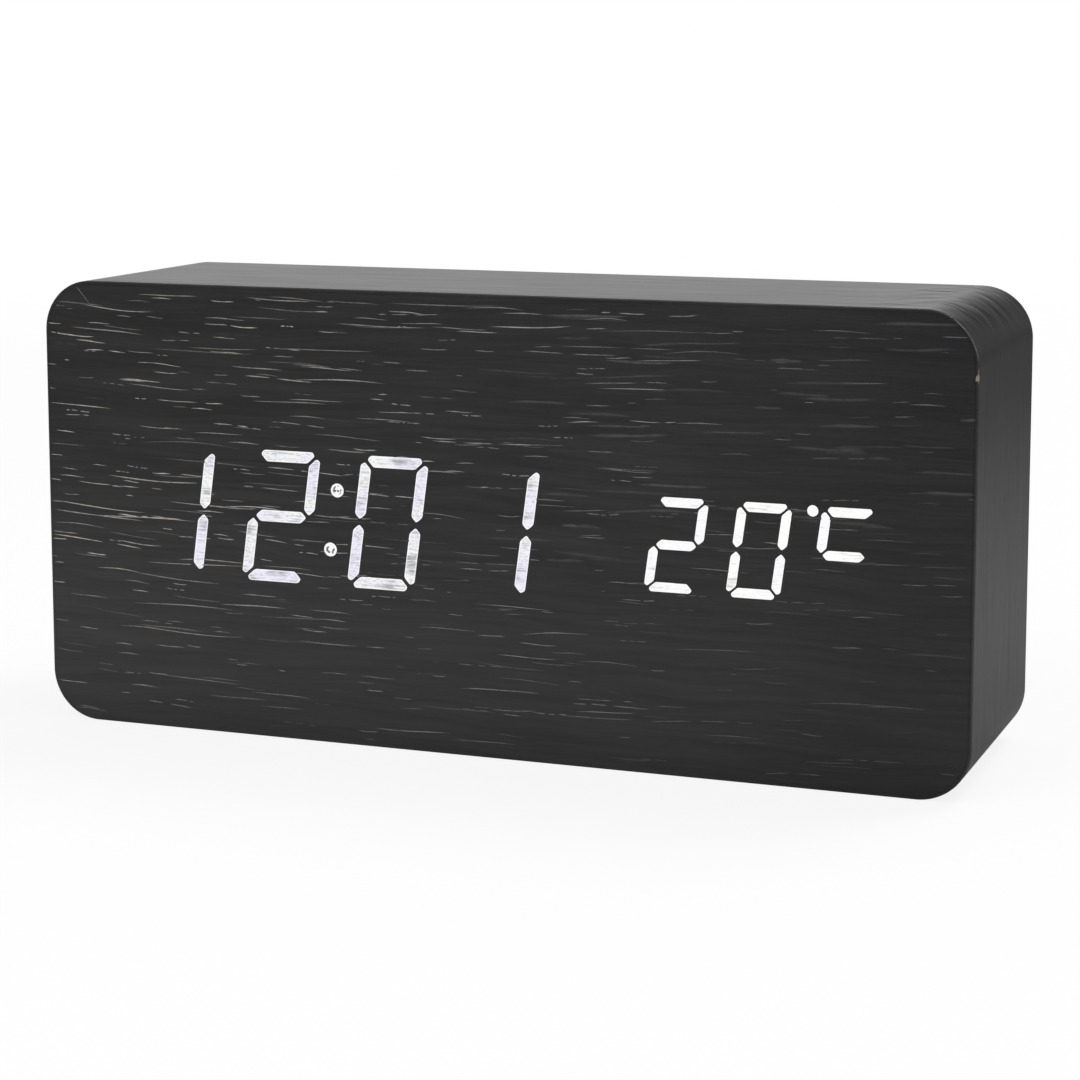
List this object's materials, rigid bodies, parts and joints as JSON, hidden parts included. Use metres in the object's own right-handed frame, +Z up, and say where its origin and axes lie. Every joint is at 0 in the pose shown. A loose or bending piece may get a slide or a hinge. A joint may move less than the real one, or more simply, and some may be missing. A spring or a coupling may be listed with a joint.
{
  "type": "wooden digital alarm clock",
  "caption": "Oblong wooden desk clock with rounded corners, dark grained front with lit time and temperature, and a rear cover with set buttons, power jack and battery door.",
  "frame": {"origin": "middle of the footprint on the table", "axes": "+X to the right seen from the front, +Y to the back, +Z up; the display faces -Y"},
  "size_m": [0.15, 0.041, 0.071],
  "materials": {
    "wood_core": "smooth satin dark film over MDF",
    "wood_veneer": "satin dark grained veneer",
    "lit_zone": "lit white veneer",
    "milky_film": "milky translucent",
    "white_plastic": "matte white",
    "light_chip": "yellow phosphor",
    "board": "green solder mask",
    "steel": "plated",
    "dark_steel": "blackened",
    "black_part": "black moulded",
    "black_abs": "fine textured black moulding",
    "button_abs": "satin black moulding",
    "cable": "grey flat cable",
    "socket": "ivory moulding",
    "brass": "plated pin",
    "cell": "printed can without words",
    "nickel": "nickel plated",
    "red": "red insulation",
    "black_lead": "black insulation"
  },
  "bodies": {
    "clock": {"case_block": "wood_core", "front_veneer": "wood_veneer", "time_windows": "lit_zone", "temperature_windows": "lit_zone", "time_diffuser": "milky_film", "temperature_diffuser": "milky_film", "time_reflector": "white_plastic", "temperature_reflector": "white_plastic", "time_leds": "light_chip", "temperature_leds": "light_chip", "display_board": "board", "display_board_screws": "steel", "clock_chip": "black_part", "quartz_crystal": "nickel", "flat_cable": "cable", "cable_sockets": "socket", "control_board": "board", "control_board_screws": "steel", "switch_bodies": "black_part", "buzzer": "black_part", "temperature_sensor": "black_part", "power_jack": "black_part", "jack_pin": "brass", "rear_cover": "black_abs", "cover_screws": "dark_steel", "battery_cells": "cell", "contact_plates": "nickel", "contact_springs": "nickel", "red_lead": "red", "black_lead": "black_lead"},
    "set_button": {"set_button": "button_abs", "set_plunger": "socket"},
    "up_button": {"up_button": "button_abs", "up_plunger": "socket"},
    "down_button": {"down_button": "button_abs", "down_plunger": "socket"},
    "battery_door": {"battery_door": "black_abs"}
  },
  "joints": [
    {"name": "set_press", "type": "slide", "parent": "clock", "child": "set_button", "axis": [0, -1, 0], "range_m": [0, 0.0005], "stiffness_N_per_m": 600},
    {"name": "up_press", "type": "slide", "parent": "clock", "child": "up_button", "axis": [0, -1, 0], "range_m": [0, 0.0005], "stiffness_N_per_m": 600},
    {"name": "down_press", "type": "slide", "parent": "clock", "child": "down_button", "axis": [0, -1, 0], "range_m": [0, 0.0005], "stiffness_N_per_m": 600},
    {"name": "door_swing", "type": "hinge", "parent": "clock", "child": "battery_door", "pos_m": [-0.03195, 0.0185, 0.0184], "axis": [-1, 0, 0], "range_deg": [0, 80]}
  ]
}
